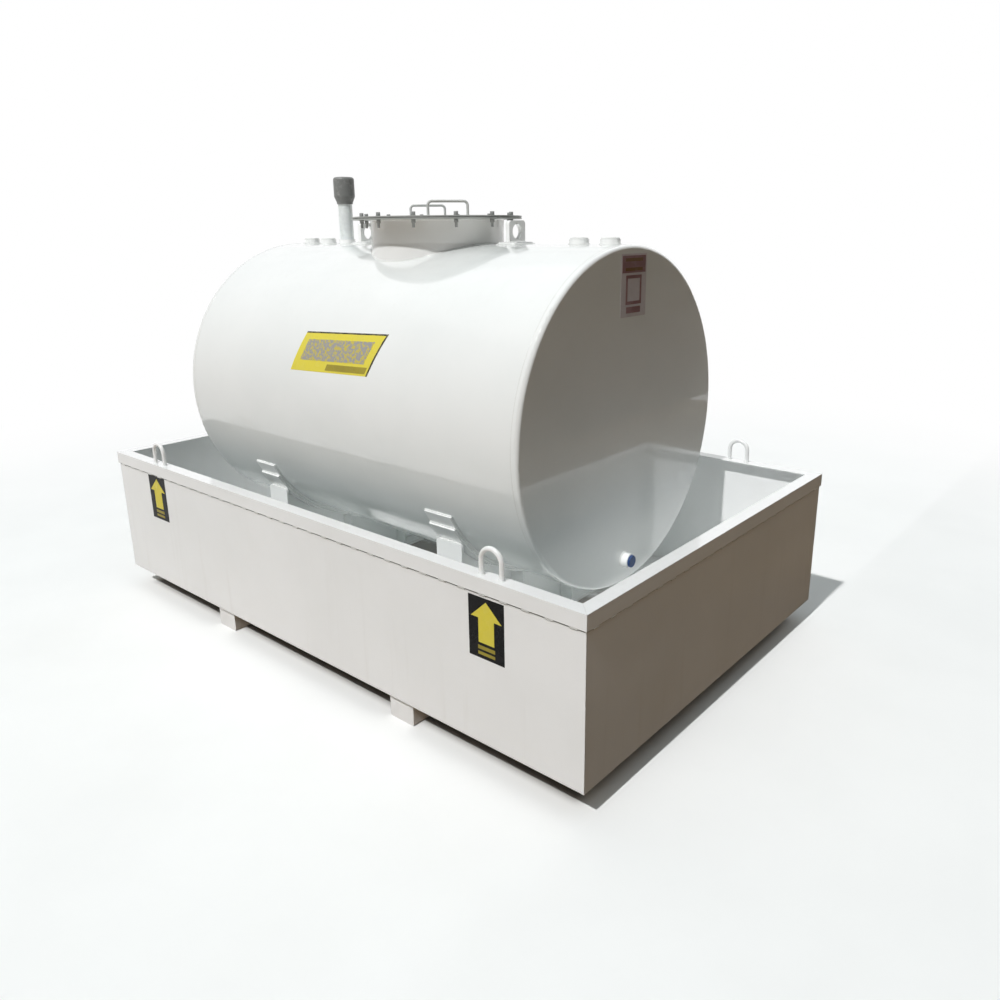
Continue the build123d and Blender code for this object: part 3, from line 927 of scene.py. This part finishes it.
def make_shell_sticker():
    """A plain yellow panel, dark along its top and right edges, with a mottled band and a block."""
    patches = (
        ("shell_sticker", (0.0, 1.0), (0.0, 1.0), 0.0, film_yellow),
        ("shell_sticker_top_edge", (0.0, 1.0), (0.962, 1.0), film, film_charcoal, 24, 1),
        ("shell_sticker_side_edge", (0.982, 1.0), (0.0, 1.0), film, film_charcoal, 1, 10),
        ("shell_sticker_band", (0.08, 0.90), (0.27, 0.80), film, film_worn_print, 20, 4),
        ("shell_sticker_block", (0.46, 0.96), (0.05, 0.20), film, film_ochre, 12, 2),
    )
    for patch in patches:
        shell_patch(*patch)


# Stage, lamps and camera

def make_floor():
    """Pale floor that keeps the shadow, with a painted shadow under the tray, and runs out to white
    far from the tank.
    """
    bm = bmesh.new()
    bmesh.ops.create_grid(bm, x_segments=1, y_segments=1, size=stage_size)
    mesh = bpy.data.meshes.new("stage_floor")
    bm.to_mesh(mesh)
    bm.free()
    floor = bpy.data.objects.new("stage_floor", mesh)
    bpy.context.scene.collection.objects.link(floor)
    material, tree, shader, place = start_material("stage_floor_pale")
    seen = seen_rays(tree)
    cloud = spread(tree, noise(tree, place, 1.2, 6.0), 0.3, 0.7)
    pale = mixed(tree, cloud, stage_pale, stage_worn)
    # Painted shadow: the floor under the tray is darkened in its colour
    pale = mixed(tree, painted_shadow_under_tray(tree, place), pale, stage_painted_shadow)
    tree.links.new(mixed(tree, seen, stage_thrown_back, pale), shader.inputs["Base Color"])
    shader.inputs["Roughness"].default_value = 0.8
    away = tree.nodes.new("ShaderNodeVectorMath")
    away.operation = "LENGTH"
    tree.links.new(place, away.inputs[0])
    far = spread(tree, away.outputs["Value"], *stage_fade)
    white = tree.nodes.new("ShaderNodeEmission")
    white.inputs["Color"].default_value = (1.0, 1.0, 1.0, 1.0)
    blend = tree.nodes.new("ShaderNodeMixShader")
    tree.links.new(times(tree, far, seen), blend.inputs["Fac"])
    tree.links.new(shader.outputs["BSDF"], blend.inputs[1])
    tree.links.new(white.outputs["Emission"], blend.inputs[2])
    tree.links.new(blend.outputs["Shader"], tree.nodes["Material Output"].inputs["Surface"])
    mesh.materials.append(material)


def painted_shadow_under_tray(tree, place):
    """1 on the ground under the tray, where the floor's colour holds a painted shadow, 0 beside it.
    """
    inside = 1.0
    for axis, reach in (("X", floor_high.x), ("Y", floor_high.y)):
        away = distance_from_middle(tree, place, axis)
        outer, inner = (reach - margin for margin in painted_shadow_edge)
        inside = times(tree, inside, spread(tree, away, outer, inner))
    return inside


def make_gloss_card(name, low, high):
    """A flat dark card beside the tank that only the gloss of its paint shows."""
    low, high = Vector(low), Vector(high)
    size = high - low
    bm = bmesh.new()
    bmesh.ops.create_grid(bm, x_segments=1, y_segments=1, size=0.5)
    for vert in bm.verts:
        across, along = vert.co.x + 0.5, vert.co.y + 0.5
        vert.co = low + Vector((across * size.x, along * size.y, across * size.z))
    mesh = bpy.data.meshes.new(name)
    bm.to_mesh(mesh)
    bm.free()
    card = bpy.data.objects.new(name, mesh)
    bpy.context.scene.collection.objects.link(card)
    card.visible_camera = False
    card.visible_diffuse = False
    card.visible_shadow = False
    material, tree, shader, place = start_material(name)
    cloud = spread(tree, noise(tree, place, 0.8, 5.0), 0.3, 0.7)
    brown = mixed(tree, cloud, (0.12, 0.078, 0.038), (0.08, 0.052, 0.028))
    tree.links.new(brown, shader.inputs["Base Color"])
    shader.inputs["Roughness"].default_value = 0.9
    mesh.materials.append(material)


def seen_rays(tree):
    """1 for rays that show the background: from the camera, off gloss and through glass."""
    path = tree.nodes.new("ShaderNodeLightPath")
    total = path.outputs["Is Camera Ray"]
    for name in ("Is Glossy Ray", "Is Transmission Ray"):
        node = tree.nodes.new("ShaderNodeMath")
        node.operation = "ADD"
        node.use_clamp = True
        tree.links.new(total, node.inputs[0])
        tree.links.new(path.outputs[name], node.inputs[1])
        total = node.outputs["Value"]
    return total


def make_sky():
    """A dome of studio light, weak at the horizon and on the outlet side, seen as plain white."""
    world = bpy.data.worlds.new("studio")
    bpy.context.scene.world = world
    world.use_nodes = True
    tree = world.node_tree
    light = tree.nodes["Background"]
    light.inputs["Color"].default_value = (*sky_colour, 1.0)
    direction = tree.nodes.new("ShaderNodeTexCoord").outputs["Generated"]
    dome = spread(tree, axis_part(tree, direction, "Z"), 0.0, 0.8, sky_low, sky_high)
    towards_outlet = axis_part(tree, direction, "X")
    outlet_side = spread(tree, towards_outlet, 0.1, 0.9, 1.0, 1.0 - sky_dark_side)
    tree.links.new(times(tree, dome, outlet_side), light.inputs["Strength"])
    seen = tree.nodes.new("ShaderNodeBackground")
    seen.inputs["Color"].default_value = (1.0, 1.0, 1.0, 1.0)
    seen.inputs["Strength"].default_value = 1.0
    blend = tree.nodes.new("ShaderNodeMixShader")
    tree.links.new(seen_rays(tree), blend.inputs["Fac"])
    tree.links.new(light.outputs["Background"], blend.inputs[1])
    tree.links.new(seen.outputs["Background"], blend.inputs[2])
    tree.links.new(blend.outputs["Shader"], tree.nodes["World Output"].inputs["Surface"])


def add_lamp(name, azimuth, elevation, strength, softness):
    """A far lamp that shines on the tank from an azimuth and elevation in degrees."""
    lamp = bpy.data.lights.new(name, "SUN")
    lamp.energy = strength
    lamp.angle = math.radians(softness)
    turn, rise = math.radians(azimuth), math.radians(elevation)
    level = math.cos(rise)
    towards = Vector((-math.sin(turn) * level, -math.cos(turn) * level, math.sin(rise)))
    carrier = bpy.data.objects.new(name, lamp)
    carrier.rotation_euler = towards.to_track_quat("Z", "Y").to_euler()
    bpy.context.scene.collection.objects.link(carrier)


def add_bounce(name, place, width, depth, strength, colour):
    """A flat weak lamp that shines up: the light that a sunlit white face under it throws back."""
    lamp = bpy.data.lights.new(name, "AREA")
    lamp.shape = "RECTANGLE"
    lamp.size = width
    lamp.size_y = depth
    lamp.energy = strength
    lamp.color = colour
    carrier = bpy.data.objects.new(name, lamp)
    carrier.location = place
    carrier.rotation_euler = (math.pi, 0.0, 0.0)
    carrier.visible_camera = False
    carrier.visible_glossy = False
    bpy.context.scene.collection.objects.link(carrier)


def make_camera():
    """The camera that took the photograph, solved from the tray's edges and the tank's outline."""
    angles = (camera_azimuth, camera_elevation, camera_roll)
    turn, rise, roll = (math.radians(angle) for angle in angles)
    flat = math.cos(rise)
    ahead = Vector((-math.sin(turn) * flat, math.cos(turn) * flat, -math.sin(rise)))
    level = Vector((math.cos(turn), math.sin(turn), 0.0))
    above = level.cross(ahead)
    right = level * math.cos(roll) + above * math.sin(roll)
    up = above * math.cos(roll) - level * math.sin(roll)
    axes = Matrix((right, up, -ahead)).transposed()
    camera = bpy.data.cameras.new("photo_camera")
    camera.sensor_width = sensor_width
    camera.lens = sensor_width * focal_pixels / frame_pixels
    camera.shift_x = 0.5 - optical_centre[0] / frame_pixels
    camera.shift_y = optical_centre[1] / frame_pixels - 0.5
    camera.clip_end = 200.0
    carrier = bpy.data.objects.new("photo_camera", camera)
    carrier.matrix_world = Matrix.Translation(camera_place) @ axes.to_4x4()
    bpy.context.scene.collection.objects.link(carrier)
    bpy.context.scene.camera = carrier


finish_cad_nodes()
make_bolts()
make_tank_beads()
make_manhole_beads()
make_saddle_beads()
make_tray_beads()
make_rim_joint_and_shade()
make_rim_stitches()
make_arrow_stickers()
make_end_label()
make_shell_sticker()
make_floor()
for card_name, (card_low, card_high) in gloss_cards.items():
    make_gloss_card(card_name, card_low, card_high)
make_sky()
add_lamp("key_lamp", key_azimuth, key_elevation, key_strength, key_softness)
add_lamp("overhead_lamp", 0.0, overhead_elevation, overhead_strength, overhead_softness)
add_lamp("back_lamp", back_azimuth, back_elevation, back_strength, back_softness)
add_bounce(
    "tray_bounce_lamp",
    (0.0, 0.0, floor_high.z + bounce_gap),
    2 * floor_high.x - bounce_margin,
    2 * floor_high.y - bounce_margin,
    tray_bounce,
    tray_bounce_colour,
)
add_bounce(
    "crown_bounce_lamp",
    ((shell_low.x + shell_high.x) / 2, 0.0, tank_top + crown_gap),
    shell_high.x - shell_low.x,
    crown_share * tank_radius,
    crown_bounce,
    crown_bounce_colour,
)
make_camera()
bpy.context.scene.view_settings.view_transform = "Standard"
